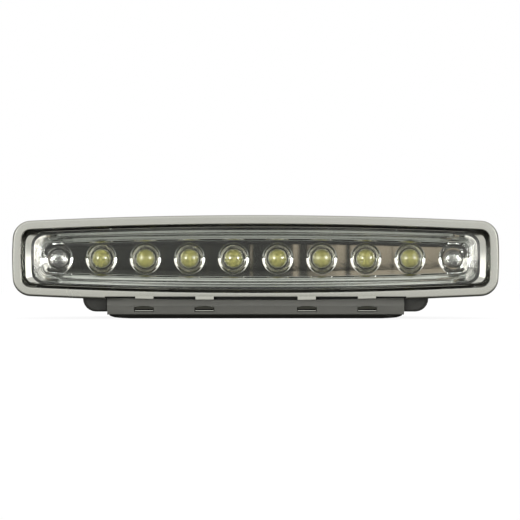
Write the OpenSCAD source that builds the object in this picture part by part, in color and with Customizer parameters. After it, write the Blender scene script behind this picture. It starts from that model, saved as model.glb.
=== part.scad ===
// Daytime running light: a slim bar of eight LEDs behind a clear lens, in a
// chrome bezel that snaps over a dark housing and into a mounting bracket.
// +X right, +Y to the rear, +Z up. The origin is below the middle of the lamp,
// on the surface that the bracket's foot stands on.

/* [Face] */
// From the centre of an end cup to the end of the bezel
end_margin = 16.45; // [16:0.05:24]
// Half of the bezel's height at the middle
face_b = 16.4; // [16:0.1:18]
// Radius of the bulged top and bottom edges
edge_bulge_r = 1770; // [1200:10:4000]
// Radius of the bowed ends
end_bow_r = 114; // [80:1:300]
// Radius of the bezel's corners
corner_r = 7; // [5:0.5:9]
// Radius of the face in plan, convex to the front
face_plan_r = 2400; // [1600:50:6000]

/* [Bezel] */
// Width of the bezel's flat front ring
ring_w = 3.4; // [2.6:0.1:4]
// Width of the funnel at the two ends
funnel_end_w = 3.5; // [3:0.1:5]
// Width of the funnel along the top and the bottom
funnel_side_w = 1.6; // [1.2:0.1:1.8]
// Width of the funnel's floor beside the lens, at the two ends
floor_w = 2.4; // [1.8:0.1:2.6]
// Radius of the corners of the lens, where the funnel ends
light_corner_r = 4.5; // [3.4:0.1:5]
// Depth of the funnel, front to lens
funnel_d = 5.9; // [4.8:0.1:7]
// Fall of the funnel's floor towards the lens
floor_fall = 0.9; // [0.3:0.1:1.2]
// Depth of the outer skirt
skirt_d = 9; // [8:0.1:9.6]
// Wall of the bezel
bezel_wall = 1.2; // [1:0.1:1.4]
// Height of the ring that the notch leaves
notch_ring_h = 1.4; // [1.2:0.1:2]
// Width of a snap tab
tab_w = 7; // [4:0.5:10]
// Distance of the inner tabs from the middle
tab_inner_x = 19.6; // [12:0.2:28]
// Distance of the outer tabs from the middle
tab_outer_x = 42.7; // [38:0.1:48]

/* [Lens] */
// Wall of the lens
lens_wall = 2; // [1.4:0.1:2.4]
// Depth of the window's front behind the bezel's front
window_d = 2.4; // [1.6:0.1:3]
// Width of the sloped rim between window and flange, above and below
rim_w = 4.4; // [3.4:0.1:5]
// Width of the sloped rim at the two ends
rim_end_w = 5.2; // [4:0.1:6]
// Thickness of the lens flange
flange_t = 1.6; // [1.2:0.1:2]
// Width of the flange hidden under the funnel
flange_w = 1; // [0.8:0.1:1.2]
// Thickness of the gasket behind the flange
seal_t = 1; // [0.8:0.1:1.4]

/* [Light] */
// Number of LEDs
led_count = 8; // [4:2:8]
// Distance from one cup to the next
cup_pitch = 16.9; // [14:0.1:17]
// Radius of a cup at its mouth
cup_r = 5.6; // [5.4:0.1:6.4]
// Depth of a cup
cup_d = 4.6; // [3.6:0.1:5]
// Number of steps in a cup's dish
cup_steps = 3; // [1:1:3]
// Thickness of the reflector
reflector_t = 1.2; // [0.8:0.1:1.4]
// Gap from the seal to the reflector's front
reflector_drop = 1.2; // [0.8:0.1:2]
// Radius of an LED's body
led_r = 3.8; // [3:0.1:4.2]
// Height of an LED from its flange's back to its tip
led_h = 9.5; // [8.6:0.1:10.5]
// Thickness of an LED's flange
led_flange_t = 1.4; // [1:0.1:1.6]
// Thickness of the circuit board
board_t = 1.6; // [1:0.1:2]
// Gap from the tray's wall to the board, above and below
board_side_gap = 2.3; // [1.9:0.1:3]
// Gap from the tray's wall to the board, at the two ends
board_end_gap = 3.3; // [2.6:0.1:4]
// Radius of a reflector screw's head
screw_head_r = 3.6; // [3:0.1:4]
// Radius of a reflector screw's shank
screw_r = 1.5; // [1.2:0.1:1.8]
// Number of resistors
resistor_count = 4; // [2:1:4]

/* [Housing] */
// Width of the housing that shows beside the bracket, on each side
ear_w = 9.5; // [8:0.1:14]
// Depth of the whole housing, from the bezel's front
housing_d = 35; // [32:0.5:44]
// Length of the screw bosses inside the tray
boss_l = 1.3; // [0.9:0.1:3]
// Wall of the housing
housing_wall = 2; // [1.6:0.1:2.4]
// Radius of the rear box's corners
box_corner_r = 5; // [4:0.5:9]
// Distance of the rear box's bottom below the light axis
box_bottom = 20.4; // [19.6:0.1:24]
// Height of the rear box above the cable grommet
box_over = 3; // [2.8:0.1:3.8]
// Draft of the rear box over its depth
box_draft = 1; // [0.5:0.1:1.6]
// Radius of the cable's way through the grommet
cable_r = 2.2; // [1.6:0.1:2.4]
// Wall of the grommet round the cable
grommet_wall = 1.8; // [1.4:0.1:2]
// Width of the grommet's outer rim
grommet_rim = 1.6; // [1.2:0.1:1.8]
// Length of the grommet's nose behind the housing
grommet_nose = 2.6; // [1.6:0.1:3]
// Thickness of the grommet's inner rim
grommet_foot = 1.2; // [0.8:0.1:1.6]

/* [Bracket] */
// Half of the bracket's width
bracket_a = 56.8; // [52:0.1:60]
// Thickness of the bracket
bracket_t = 2.2; // [1.8:0.1:2.6]
// Depth of the bracket's front lip behind the bezel's front
lip_d = 7; // [6.4:0.1:7.4]
// Height of the bracket's rear wall
rear_wall_h = 18.4; // [17:0.1:20]
// Width of a screw slot
slot_w = 5; // [4:0.1:6]
// Length of a screw slot
slot_l = 12; // [8:0.5:16]
// Distance between the two screw slots
slot_pitch = 80; // [60:1:88]
// Gap from the bracket's rear wall up to the grommet
cable_gap = 1.4; // [0.8:0.1:2]
// Radius of the foot's front corners in plan
foot_corner_r = 8.7; // [5:0.1:12]
// Rise of the foot's underside at its two ends
foot_rise = 1.5; // [0.6:0.1:2]

/* [Clearances] */
// Gap between pieces that nest without touching
gap = 0.3; // [0.2:0.05:0.4]
// Gap round a pin or a leg in its hole
hole_gap = 0.1; // [0.05:0.05:0.2]

/* [Hidden] */
$fn = 64;

// heights: the foot's underside is at z = 0, the light axis at axis_z
foot_gap = 0.4;
axis_z = box_bottom + foot_gap + bracket_t;
total_d = housing_d + gap + bracket_t;
front_y = -total_d / 2;

// the lamp's width follows from its row of cups
screw_x = (led_count / 2 + 0.5) * cup_pitch;
screw_hold = 5;
boss_r = 3.4;
face_a = screw_x + end_margin;

// half sizes of the face's nested outlines
mouth_a = face_a - ring_w;
mouth_b = face_b - ring_w;
light_a = mouth_a - funnel_end_w;
light_b = mouth_b - funnel_side_w;
flange_a = light_a + flange_w;
flange_b = light_b + flange_w;
window_a = light_a - rim_end_w;
window_b = light_b - rim_w;
skirt_in_a = face_a - bezel_wall;
skirt_in_b = face_b - bezel_wall;

// depths behind the bezel's front, in the order of assembly
flange_front_d = funnel_d + gap;
seal_front_d = flange_front_d + flange_t;
tray_front_d = seal_front_d + seal_t;
reflector_front_d = tray_front_d + reflector_drop;
cup_floor_d = reflector_front_d + cup_d;
board_front_d = cup_floor_d + reflector_t - hole_gap + led_flange_t;
board_back_d = board_front_d + board_t;

// the tray of the housing and what lies in it
tab_shelf_h = mouth_b + notch_ring_h;
tab_shelf_t = bezel_wall;
tray_a = flange_a + 1.7;
tray_b = tab_shelf_h - tab_shelf_t - gap;
tray_in_a = tray_a - housing_wall - 1.4;
tray_in_b = tray_b - housing_wall - 0.2;
tray_d = board_back_d + boss_l + housing_wall;
tray_in_r = light_corner_r + flange_w - 1;
inset_gap = 0.5;
seal_lap = 1.8;
board_a = tray_in_a - board_end_gap;
board_b = tray_in_b - board_side_gap;

// the front lip of the bracket, and the tabs behind it
crease_d = 0.5;
lip_in_d = lip_d + bracket_t;
tab_d = lip_in_d + crease_d + gap + 0.1;
tab_end_d = tab_d + bezel_wall;
box_recess_d = tab_end_d + gap;
box_front_d = skirt_d + gap;
crease_h = 18;
window_h = 2.3;
window_low = box_bottom;
lip_top_gap = 0.4;
notch_a = bracket_a + gap;
box_a = bracket_a + ear_w;
heel_h = axis_z - rear_wall_h + bracket_t + gap;
heel_d = 1.8;

// the axial parts on the board's back
axial_span = 10.2;
axial_r = 1.3;
axial_gap = 1.3;
axial_end_gap = 7.5;
axial_d = board_back_d + axial_r + gap;
resistor_z = board_b - 3;
diode_z = -resistor_z;
resistor_pitch = 2 * (box_a - housing_wall - box_draft - axial_span / 2 - axial_end_gap)
    / max(1, resistor_count - 1);

// the grommet above the bracket, and the rear box round both
grommet_neck = cable_r + grommet_wall;
grommet_r = grommet_neck + grommet_rim;
cable_z = rear_wall_h - axis_z + cable_gap + grommet_r;
box_top = max(cable_z + grommet_r + box_over,
    resistor_z + axial_r + axial_gap + housing_wall + box_draft);

// a corner arc tangent to the top arc about c1 and to the end arc about c2
function corner_centre(a, b, r) =
    let (d1 = edge_bulge_r - r, d2 = end_bow_r - r,
         c1 = [0, b - edge_bulge_r], c2 = [a - end_bow_r, 0],
         v = c2 - c1, l = norm(v),
         m = (d1 * d1 - d2 * d2 + l * l) / (2 * l),
         h = sqrt(d1 * d1 - m * m),
         u = v / l)
    c1 + m * u + h * [-u[1], u[0]] * (u[0] > 0 ? 1 : -1);

// one quarter of a face outline, from the top's middle to the end's middle
function quarter(a, b, r, nt, nc, ne) =
    let (c1 = [0, b - edge_bulge_r], c2 = [a - end_bow_r, 0],
         p = corner_centre(a, b, r),
         a1 = atan2(p[1] - c1[1], p[0] - c1[0]),
         a2 = atan2(p[1] - c2[1], p[0] - c2[0]))
    concat(
        [for (i = [0:nt - 1]) let (t = 90 + (a1 - 90) * i / nt)
            c1 + edge_bulge_r * [cos(t), sin(t)]],
        [for (i = [0:nc - 1]) let (t = a1 + (a2 - a1) * i / nc)
            p + r * [cos(t), sin(t)]],
        [for (i = [0:ne]) let (t = a2 * (1 - i / ne))
            c2 + end_bow_r * [cos(t), sin(t)]]);

// the whole face outline [x, z], clockwise from the top's middle
function outline(a, b, r, nt = 7, nc = 6, ne = 3) =
    let (q = quarter(a, b, r, nt, nc, ne), n = len(q))
    concat(q,
        [for (i = [n - 2:-1:0]) [q[i][0], -q[i][1]]],
        [for (i = [1:n - 1]) [-q[i][0], -q[i][1]]],
        [for (i = [n - 2:-1:1]) [-q[i][0], q[i][1]]]);

// a rounded rectangle [x, z] from its sides, clockwise from its top left
function round_box(x0, x1, z0, z1, r, n = 6) =
    concat(
        [for (i = [0:n]) [x0 + r, z1 - r] + r * [cos(180 - 90 * i / n), sin(180 - 90 * i / n)]],
        [for (i = [0:n]) [x1 - r, z1 - r] + r * [cos(90 - 90 * i / n), sin(90 - 90 * i / n)]],
        [for (i = [0:n]) [x1 - r, z0 + r] + r * [cos(-90 * i / n), sin(-90 * i / n)]],
        [for (i = [0:n]) [x0 + r, z0 + r] + r * [cos(-90 - 90 * i / n), sin(-90 - 90 * i / n)]]);

// a ring in space at depth d, bent to the face's plan radius by the share k
function ring(pts, d, k = 0) =
    [for (p = pts) [p[0], front_y + d + k * p[0] * p[0] / (2 * face_plan_r), axis_z + p[1]]];

function flat(rings) = [for (r = rings) for (p = r) p];

// quads between neighbouring rings; closed joins the last ring to the first
function walls(n, m, closed) =
    [for (j = [0:m - (closed ? 1 : 2)]) for (i = [0:n - 1])
        let (i2 = (i + 1) % n, j2 = (j + 1) % m)
        for (t = [[j * n + i, j2 * n + i2, j * n + i2], [j * n + i, j2 * n + i, j2 * n + i2]]) t];

// a ring-shaped body: a section swept round a closed outline, whose rings run
// to the rear on the outside and back to the front on the inside
module torus_skin(rings) {
    polyhedron(flat(rings), walls(len(rings[0]), len(rings), true), convexity = 6);
}

// a solid body: rings from front to back, closed by strips across the first and last
module solid_skin(rings) {
    n = len(rings[0]);
    m = len(rings);
    polyhedron(flat(rings), concat(
        walls(n, m, false),
        strip_cap(n, 0, true),
        strip_cap(n, (m - 1) * n, false)), convexity = 6);
}

// triangles across an outline between points that mirror each other in z
function strip_cap(n, o, front) =
    let (h = n / 2, s = n / 4)
    [for (i = [0:h - 1])
        let (u = (n - s + i) % n, u2 = (n - s + i + 1) % n,
             l = (n - s - i + n) % n, l2 = (n - s - i - 1 + n) % n)
        for (t = i == 0 ? [[u, l2, u2]] : i == h - 1 ? [[u, l, u2]]
                : [[u, l, l2], [u, l2, u2]])
            front ? [o + t[0], o + t[2], o + t[1]] : [o + t[0], o + t[1], o + t[2]]];

// a flat outline [x, z] extruded to the rear from depth d0 to d1
module slab(pts, d0, d1) {
    translate([0, front_y + d1, axis_z])
        rotate([90, 0, 0])
            linear_extrude(d1 - d0)
                polygon(pts);
}

// a section [depth, z] extruded along x, centred on x
module bar(section, x, w) {
    translate([x + w / 2, front_y, axis_z])
        rotate([90, 0, -90])
            linear_extrude(w)
                polygon([for (p = section) [-p[0], p[1]]]);
}

// a round piece turned about an axis that runs to the rear, from [radius, depth]
module turned(x, z, section) {
    translate([x, front_y, axis_z + z])
        rotate([-90, 0, 0])
            rotate_extrude()
                polygon(section);
}

// a round bar or bore that runs to the rear
module rod(x, z, r, d0, d1) {
    translate([x, front_y + d0, axis_z + z])
        rotate([-90, 0, 0])
            cylinder(r = r, h = d1 - d0);
}

// a box given by its sides x, depth and z from the light axis
module block(x0, x1, d0, d1, z0, z1) {
    translate([x0, front_y + d0, axis_z + z0])
        cube([x1 - x0, d1 - d0, z1 - z0]);
}

module bezel() {
    nose = 0.9;
    lip = 0.5;
    back = bezel_wall;
    hook_l = 1.5;
    in_r = corner_r - ring_w;
    ring_fall = 0.1;
    color([0.78, 0.78, 0.76]) {
        difference() {
            torus_skin([
                ring(outline(face_a - nose, face_b - nose, corner_r - nose), ring_fall, 1),
                ring(outline(face_a - nose * 0.3, face_b - nose * 0.3, corner_r - nose * 0.3),
                    ring_fall + nose * 0.25, 1),
                ring(outline(face_a, face_b, corner_r), nose, 1),
                ring(outline(face_a, face_b, corner_r), skirt_d),
                ring(outline(skirt_in_a, skirt_in_b, corner_r - back), skirt_d),
                ring(outline(skirt_in_a, skirt_in_b, corner_r - back), lip + back * 1.5, 1),
                ring(outline(mouth_a + lip, mouth_b + lip, in_r + lip), lip + back * 1.5, 1),
                ring(outline(flange_a, flange_b, light_corner_r + flange_w), funnel_d),
                ring(outline(light_a, light_b, light_corner_r), funnel_d),
                ring(outline(light_a + floor_w, light_b + 0.15, in_r), funnel_d - floor_fall),
                ring(outline(mouth_a, mouth_b, in_r), lip, 1),
                ring(outline(mouth_a + lip, mouth_b + lip, in_r + lip), 0, 1)]);
            block(-notch_a, notch_a, -1, skirt_d + 1, -face_b - 1, -tab_shelf_h);
        }
        for (x = [-tab_outer_x, -tab_inner_x, tab_inner_x, tab_outer_x])
            bar([
                [lip + back, -tab_shelf_h + tab_shelf_t],
                [tab_end_d, -tab_shelf_h + tab_shelf_t],
                [tab_end_d, -window_low + gap],
                [tab_d - hook_l, -window_low + gap],
                [tab_d - hook_l, -window_low + gap + 0.25],
                [tab_d, -window_low + gap + 1.4],
                [tab_d, -tab_shelf_h],
                [lip + back, -tab_shelf_h]], x, tab_w);
    }
}

module lens() {
    r = light_corner_r;
    w = window_d;
    soft = 0.5;
    slope_in = lens_wall * 0.5;
    color([0.9, 0.93, 0.95, 0.4])
    difference() {
        solid_skin([
            ring(outline(window_a - soft, window_b - soft, 1.6), w, 1),
            ring(outline(window_a, window_b, 2), w + soft * 0.4, 1),
            ring(outline(window_a + soft, window_b + soft, 2.4), w + soft * 1.2, 1),
            ring(outline(light_a - 0.4, light_b - 0.4, r), flange_front_d, 0),
            ring(outline(flange_a, flange_b, r + flange_w), flange_front_d, 0),
            ring(outline(flange_a, flange_b, r + flange_w), seal_front_d, 0)]);
        solid_skin([
            ring(outline(window_a, window_b, 2), w + lens_wall, 1),
            ring(outline(window_a + 0.7, window_b + 0.7, 2.6), w + lens_wall + 0.6, 1),
            ring(outline(light_a - slope_in - 0.2, light_b - slope_in, r - 0.8),
                seal_front_d + 0.01, 0)]);
    }
}

module lens_seal() {
    r = light_corner_r + flange_w;
    color([0.12, 0.12, 0.12])
    difference() {
        slab(outline(flange_a, flange_b, r), seal_front_d, tray_front_d);
        slab(outline(flange_a - seal_lap, flange_b - seal_lap, r - 0.8),
            seal_front_d - 1, tray_front_d + 1);
    }
}

// the stepped dish of a cup and the well below it, as [radius, depth]
function dish(r_in) =
    let (w = (cup_r - r_in) / cup_steps, slope = 0.48, riser = 0.55, lean = 0.05)
    concat(
        [for (i = [0:cup_steps - 1])
            let (d = reflector_front_d + i * (w * slope + riser), r = cup_r - i * w)
            for (p = [[r, d], [r - w + lean, d + w * slope]]) p],
        [[r_in, cup_floor_d]]);

module cup_cut(x, hole) {
    turned(x, 0, concat(
        [[0, reflector_front_d - 2], [cup_r, reflector_front_d - 2]],
        dish(led_r + gap + 0.1),
        [[hole, cup_floor_d], [hole, cup_floor_d + reflector_t + 9],
            [0, cup_floor_d + reflector_t + 9]]));
}

module reflector() {
    r = tray_in_r - inset_gap;
    a = tray_in_a - inset_gap;
    b = tray_in_b - inset_gap;
    back = reflector_front_d + reflector_t;
    out = cup_r + reflector_t * 0.8;
    floor_back = cup_floor_d + reflector_t - hole_gap;
    color([0.45, 0.44, 0.4])
    difference() {
        union() {
            slab(outline(a, b, r), reflector_front_d, back);
            for (i = [-led_count / 2 - 0.5:led_count / 2 + 0.5])
                turned(i * cup_pitch, 0, [
                    [0, reflector_front_d - 0.4], [cup_r + 0.5, reflector_front_d - 0.4],
                    [cup_r + 0.5, back - 0.2], [out, back - 0.2], [out, back + 1.4],
                    [led_r + 2.2, floor_back], [0, floor_back]]);
            for (s = [-1, 1])
                rod(s * screw_x, 0, screw_head_r, cup_floor_d, board_front_d);
        }
        for (i = [0:led_count - 1])
            cup_cut((i - (led_count - 1) / 2) * cup_pitch, led_r + gap);
        for (s = [-1, 1])
            cup_cut(s * screw_x, screw_r + hole_gap);
    }
}

module led(i) {
    x = (i - (led_count + 1) / 2) * cup_pitch;
    tip_d = board_front_d - led_h;
    color([0.62, 0.6, 0.38]) {
        union() {
            rod(x, 0, led_r, tip_d + led_r, board_front_d);
            translate([x, front_y + tip_d + led_r, axis_z])
                intersection() {
                    sphere(led_r);
                    translate([-led_r - 1, -led_r - 1, -led_r - 1])
                        cube([2 * led_r + 2, led_r + 1, 2 * led_r + 2]);
                }
            rod(x, 0, led_r + 0.6, board_front_d - led_flange_t, board_front_d);
            for (s = [-1, 1])
                block(x + s * 1.27 - 0.25, x + s * 1.27 + 0.25,
                    board_front_d - 0.5, board_back_d + 1, -0.25, 0.25);
        }
    }
}

module circuit_board() {
    color([0.1, 0.3, 0.16])
    difference() {
        slab(round_box(-board_a, board_a, -board_b, board_b, 1.5, 4), board_front_d, board_back_d);
        for (i = [1:led_count]) for (s = [-1, 1])
            rod((i - (led_count + 1) / 2) * cup_pitch + s * 1.27, 0, 0.36 + hole_gap,
                board_front_d - 1, board_back_d + 1);
        for (s = [-1, 1])
            rod(s * screw_x, 0, screw_r + hole_gap, board_front_d - 1, board_back_d + 1);
        for (i = [1:resistor_count])
            axial_legs(resistor_x(i), resistor_z, 0.3 + hole_gap, board_front_d - 1);
        axial_legs(0, diode_z, 0.3 + hole_gap, board_front_d - 1);
    }
}

function resistor_x(i) = (i - (resistor_count + 1) / 2) * resistor_pitch;

module axial_legs(x, z, r, d0) {
    for (s = [-1, 1])
        rod(x + s * axial_span / 2, z, r, d0, axial_d);
}

// an axial part: a waisted body on a wire that is bent down at both ends
module axial(x, z, body_l, waist) {
    translate([x, front_y + axial_d, axis_z + z]) {
        rotate([0, 90, 0])
            rotate_extrude()
                polygon([
                    [0, -body_l / 2], [axial_r * 0.8, -body_l / 2],
                    [axial_r, -body_l / 2 + 0.4], [axial_r, -body_l / 2 + 1.3],
                    [axial_r * waist, -body_l / 2 + 1.7], [axial_r * waist, body_l / 2 - 1.7],
                    [axial_r, body_l / 2 - 1.3], [axial_r, body_l / 2 - 0.4],
                    [axial_r * 0.8, body_l / 2], [0, body_l / 2]]);
        rotate([0, 90, 0])
            cylinder(r = 0.3, h = axial_span + 0.6, center = true);
    }
    axial_legs(x, z, 0.3, board_front_d + 0.2);
}

module resistor(i) {
    color([0.75, 0.68, 0.5])
        axial(resistor_x(i), resistor_z, 6.4, 0.85);
}

module polarity_diode() {
    color([0.1, 0.1, 0.1])
        axial(0, diode_z, 5.2, 0.99);
}

module reflector_screw(s) {
    head_h = 2.2;
    dome_r = (screw_head_r * screw_head_r + head_h * head_h) / (2 * head_h);
    x = s * screw_x;
    color([0.7, 0.7, 0.7])
    difference() {
        union() {
            intersection() {
                translate([x, front_y + cup_floor_d - head_h + dome_r, axis_z])
                    sphere(dome_r, $fn = 96);
                rod(x, 0, screw_head_r - 0.1, cup_floor_d - head_h - 1, cup_floor_d);
            }
            rod(x, 0, screw_r, cup_floor_d - 0.2, board_back_d + screw_hold);
        }
        block(x - 1.9, x + 1.9, cup_floor_d - head_h - 1, cup_floor_d - head_h + 1.3, -0.35, 0.35);
        block(x - 0.35, x + 0.35, cup_floor_d - head_h - 1, cup_floor_d - head_h + 1.3, -1.9, 1.9);
    }
}

module housing() {
    r = light_corner_r + flange_w;
    fl_r = corner_r - bezel_wall - gap;
    w = housing_wall;
    e = w + box_draft;
    color([0.22, 0.22, 0.2])
    difference() {
        union() {
            // the wide tray that carries the lens, the reflector and the board
            slab(outline(tray_a, tray_b, r), tray_front_d, tray_d);
            // the flange that closes the channel behind the bezel
            difference() {
                slab(outline(skirt_in_a - gap, skirt_in_b - gap, fl_r), tray_front_d + 0.4, tray_front_d + 2);
                block(-notch_a - gap, notch_a + gap, tray_front_d - 1, tray_front_d + 3,
                    -face_b - 1, -tray_b + 0.2);
            }
            // the rear box, with draft to the rear and a bevelled front edge
            box_skin([[1.2, box_front_d], [0, box_front_d + 1.2], [box_draft, housing_d]]);
            // the bosses of the reflector's screws
            for (s = [-1, 1])
                rod(s * screw_x, 0, boss_r, board_back_d, tray_d + 3);
        }
        // the room in the tray, round the bosses
        difference() {
            slab(outline(tray_in_a, tray_in_b, tray_in_r), tray_front_d - 1, tray_d - w);
            for (s = [-1, 1])
                rod(s * screw_x, 0, boss_r, board_back_d, tray_d);
        }
        // the room in the box, up to the step above the heel
        slab(round_box(-box_a + e, box_a - e, -box_bottom + e, box_top - e, 4),
            box_recess_d + w, housing_d - heel_d - w);
        // the step above the heel, where the bracket's lip hooks over
        block(-box_a, box_a, housing_d - heel_d, housing_d + 1, -heel_h, box_top + 1);
        // the recess behind the bracket's lip and the snap tabs
        block(-notch_a, notch_a, box_front_d - 1, box_recess_d, -box_bottom - 1, -tray_b);
        rod(0, cable_z, grommet_neck + hole_gap, housing_d - heel_d - w - 1, housing_d);
        for (s = [-1, 1])
            rod(s * screw_x, 0, screw_r + hole_gap, board_back_d - 1, board_back_d + screw_hold + 0.5);
    }
}

// the rear box from [inset, depth] steps of one rounded rectangle
module box_skin(steps) {
    rings = [for (s = steps) [for (p = round_box(
        -box_a + s[0], box_a - s[0], -box_bottom + s[0] * 0.6, box_top - s[0],
        box_corner_r - s[0] * 0.5))
        [p[0], front_y + s[1], axis_z + p[1]]]];
    n = len(rings[0]);
    m = len(rings);
    polyhedron(flat(rings), concat(walls(n, m, false),
        [[for (i = [0:n - 1]) i]],
        [[for (i = [n - 1:-1:0]) (m - 1) * n + i]]), convexity = 4);
}

module cable_grommet() {
    neck = grommet_neck;
    edge = 0.4;
    fit = 0.05;
    d0 = housing_d - heel_d - housing_wall;
    d1 = housing_d - heel_d;
    color([0.08, 0.08, 0.08])
        turned(0, cable_z, [
            [cable_r, d0 - grommet_foot], [grommet_r - 2 * edge, d0 - grommet_foot],
            [grommet_r - edge, d0 - fit], [neck, d0 - fit], [neck, d1 + fit],
            [grommet_r, d1 + fit], [grommet_r - edge, d1 + grommet_nose * 0.4],
            [neck - edge, d1 + grommet_nose], [cable_r, d1 + grommet_nose]]);
}

module mounting_bracket() {
    t = bracket_t;
    low = axis_z;
    top_fall = 1;
    rear = housing_d + gap;
    lip_z = -heel_h + gap;
    top_r = edge_bulge_r;
    color([0.3, 0.3, 0.28])
    difference() {
        bar([
            [lip_d + top_fall, -face_b + 3], [lip_d + top_fall, -face_b + 1.2],
            [lip_d, -crease_h], [lip_d + 1.4, -low + 1.5], [lip_d + 2.2, -low + 0.4],
            [lip_d + 3.2, -low],
            [rear + t, -low], [rear + t, lip_z + t],
            [rear - heel_d + 0.4, lip_z + t], [rear - heel_d + 0.4, lip_z],
            [rear, lip_z], [rear, -low + t],
            [lip_d + 5.2, -low + t], [lip_in_d + 1.7, -low + t + 0.7],
            [lip_in_d + crease_d, -crease_h - 0.2], [lip_in_d, -face_b], [lip_in_d, -face_b + 3]],
            0, 2 * bracket_a);
        // the top edge follows the bezel's bulge
        translate([0, front_y + lip_in_d + 1, axis_z - face_b + lip_top_gap + top_r])
            rotate([90, 0, 0])
                cylinder(r = top_r, h = t + 2, $fn = 256);
        // windows that the snap tabs hook into
        for (x = [-tab_outer_x, -tab_inner_x, tab_inner_x, tab_outer_x])
            translate([x, front_y + lip_in_d + 3, axis_z - window_low])
                rotate([90, 0, 0])
                    linear_extrude(t + 6)
                        intersection() {
                            translate([-tab_w / 2 - gap, 0])
                                square([tab_w + 2 * gap, window_h]);
                            translate([0, window_h - tab_w * 1.6])
                                circle(tab_w * 1.6);
                        }
        // slots for the mounting screws
        for (s = [-1, 1])
            translate([s * slot_pitch / 2, front_y + rear + t + 1, slot_z])
                rotate([90, 0, 0])
                    linear_extrude(t + 2)
                        union() {
                            square([slot_l - slot_w, slot_w], center = true);
                            for (e = [-1, 1])
                                translate([e * (slot_l - slot_w) / 2, 0])
                                    circle(slot_w / 2);
                        }
        // the underside rises at both ends, and the front corners are round in plan
        for (s = [-1, 1]) {
            translate([0, front_y + total_d + 1, 0])
                rotate([90, 0, 0])
                    linear_extrude(total_d + 2)
                        polygon([for (p = [[1, -1], [1, 1], [0, 1], [-0.06, 0.6], [-0.3, 0.25],
                            [-0.7, 0.08], [-1, 0], [-1, -1]])
                            [s * (bracket_a + p[0] * foot_corner_r), p[1] * foot_rise]]);
            translate([s * (bracket_a - foot_corner_r), front_y + lip_d + 1.4 + foot_corner_r, -1])
                foot_corner(s);
        }
    }
}

// what a round front corner of the foot leaves of its square
module foot_corner(s) {
    linear_extrude(1 + foot_rise)
        difference() {
            translate([s > 0 ? 0 : -foot_corner_r - 1, -foot_corner_r - 2])
                square([foot_corner_r + 1, foot_corner_r + 2]);
            circle(foot_corner_r);
        }
}

slot_z = t_slot(rear_wall_h);
function t_slot(h) = (h + bracket_t) / 2;

bezel();
lens();
lens_seal();
reflector();
for (i = [1:led_count])
    led(i);
circuit_board();
reflector_screw(-1);  // reflector_screw_left
reflector_screw(1);  // reflector_screw_right
for (i = [1:resistor_count])
    resistor(i);
polarity_diode();
housing();
cable_grommet();
mounting_bracket();
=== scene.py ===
# %% [markdown] # A daytime running light The lamp is a slim bar: a chrome
# bezel, a clear lens, a bright reflector with eight LEDs, a dark housing and a
# dark bracket below. The pieces that carry the look are worked out again here
# as fine, smooth surfaces in the same places.

# %% The frame
import math

import bmesh
import bpy
import numpy as np
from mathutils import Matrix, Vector


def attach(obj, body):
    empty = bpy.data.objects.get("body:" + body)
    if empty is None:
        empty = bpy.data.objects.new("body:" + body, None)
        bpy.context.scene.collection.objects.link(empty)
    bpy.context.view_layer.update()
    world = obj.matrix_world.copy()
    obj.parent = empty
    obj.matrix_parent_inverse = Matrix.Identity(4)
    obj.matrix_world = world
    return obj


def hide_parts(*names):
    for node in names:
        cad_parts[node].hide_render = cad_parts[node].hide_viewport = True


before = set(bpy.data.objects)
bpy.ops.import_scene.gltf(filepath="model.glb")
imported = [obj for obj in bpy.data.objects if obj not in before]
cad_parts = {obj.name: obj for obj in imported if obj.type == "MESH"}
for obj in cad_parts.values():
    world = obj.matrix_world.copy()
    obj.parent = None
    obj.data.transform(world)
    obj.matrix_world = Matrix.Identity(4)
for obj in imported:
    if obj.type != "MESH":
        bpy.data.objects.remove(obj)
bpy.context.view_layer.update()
MM = 0.001

# %% [markdown]
# ## Sizes
# All lengths below are millimetres and repeat the solids' own sizes. Depths,
# whose names end in D, are counted from the bezel's front towards the rear, and
# heights from the light axis, the line through the middle of the eight LEDs. An
# outline is given by its half width, its half height and its corner radius.

# %% Sizes of the bezel and the lens
AXIS_Z = 23.0               # height of the light axis above the floor
FRONT_Y = -18.75            # the bezel's front in its middle
FACE = (92.5, 16.4, 7.0)    # outside of the ring
MOUTH = (89.1, 13.0, 3.6)   # inside of the ring, where the funnel starts
LIGHT = (85.6, 11.4, 4.5)   # opening at the funnel's rear
WINDOW = (80.4, 7.0, 2.0)   # raised window of the lens
FLANGE = (86.6, 12.4, 5.5)  # flange of the lens, and the gasket's outside
BULGE_R = 1770.0            # radius of the two long edges
BOW_R = 114.0               # radius of the two ends
PLAN_R = 2400.0             # radius of the whole face, seen from above
WALL = 1.2                  # the bezel's wall
RING_BACK_D = 2.3           # back of the ring
LEDGE_D = 4.0               # narrow ledge in the funnel's wall
LEDGE_BEND = 0.27           # share of the face's curve that the ledge follows
WALL_D = 5.15               # where the funnel's wall ends and its floor starts
FUNNEL_D = 5.9              # rear of the funnel
SKIRT_D = 9.0               # rear of the skirt
NOTCH_A = 57.1              # half width of the notch below
NOTCH_H = 14.4              # lower edge of the strip that the notch leaves
print("face:", 2 * FACE[0], "by", 2 * FACE[1])

# %% Sizes of the row of LEDs
PITCH = 16.9                # from one cup to the next
CUP_R = 5.6                 # radius of a cup at the plate
LED_R = 3.8                 # radius of an LED's dome
LED_TIP_D = 7.6             # tip of the dome
REFLECTOR_D = 10.0          # front of the reflector's plate
CUP_FLOOR_D = 14.6          # floor of a cup
BOARD_D = 17.1              # front of the circuit board
led_places = [(i - 3.5) * PITCH for i in range(8)]
screw_places = [-4.5 * PITCH, 4.5 * PITCH]
print("LEDs at", [round(x, 2) for x in led_places])

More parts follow.
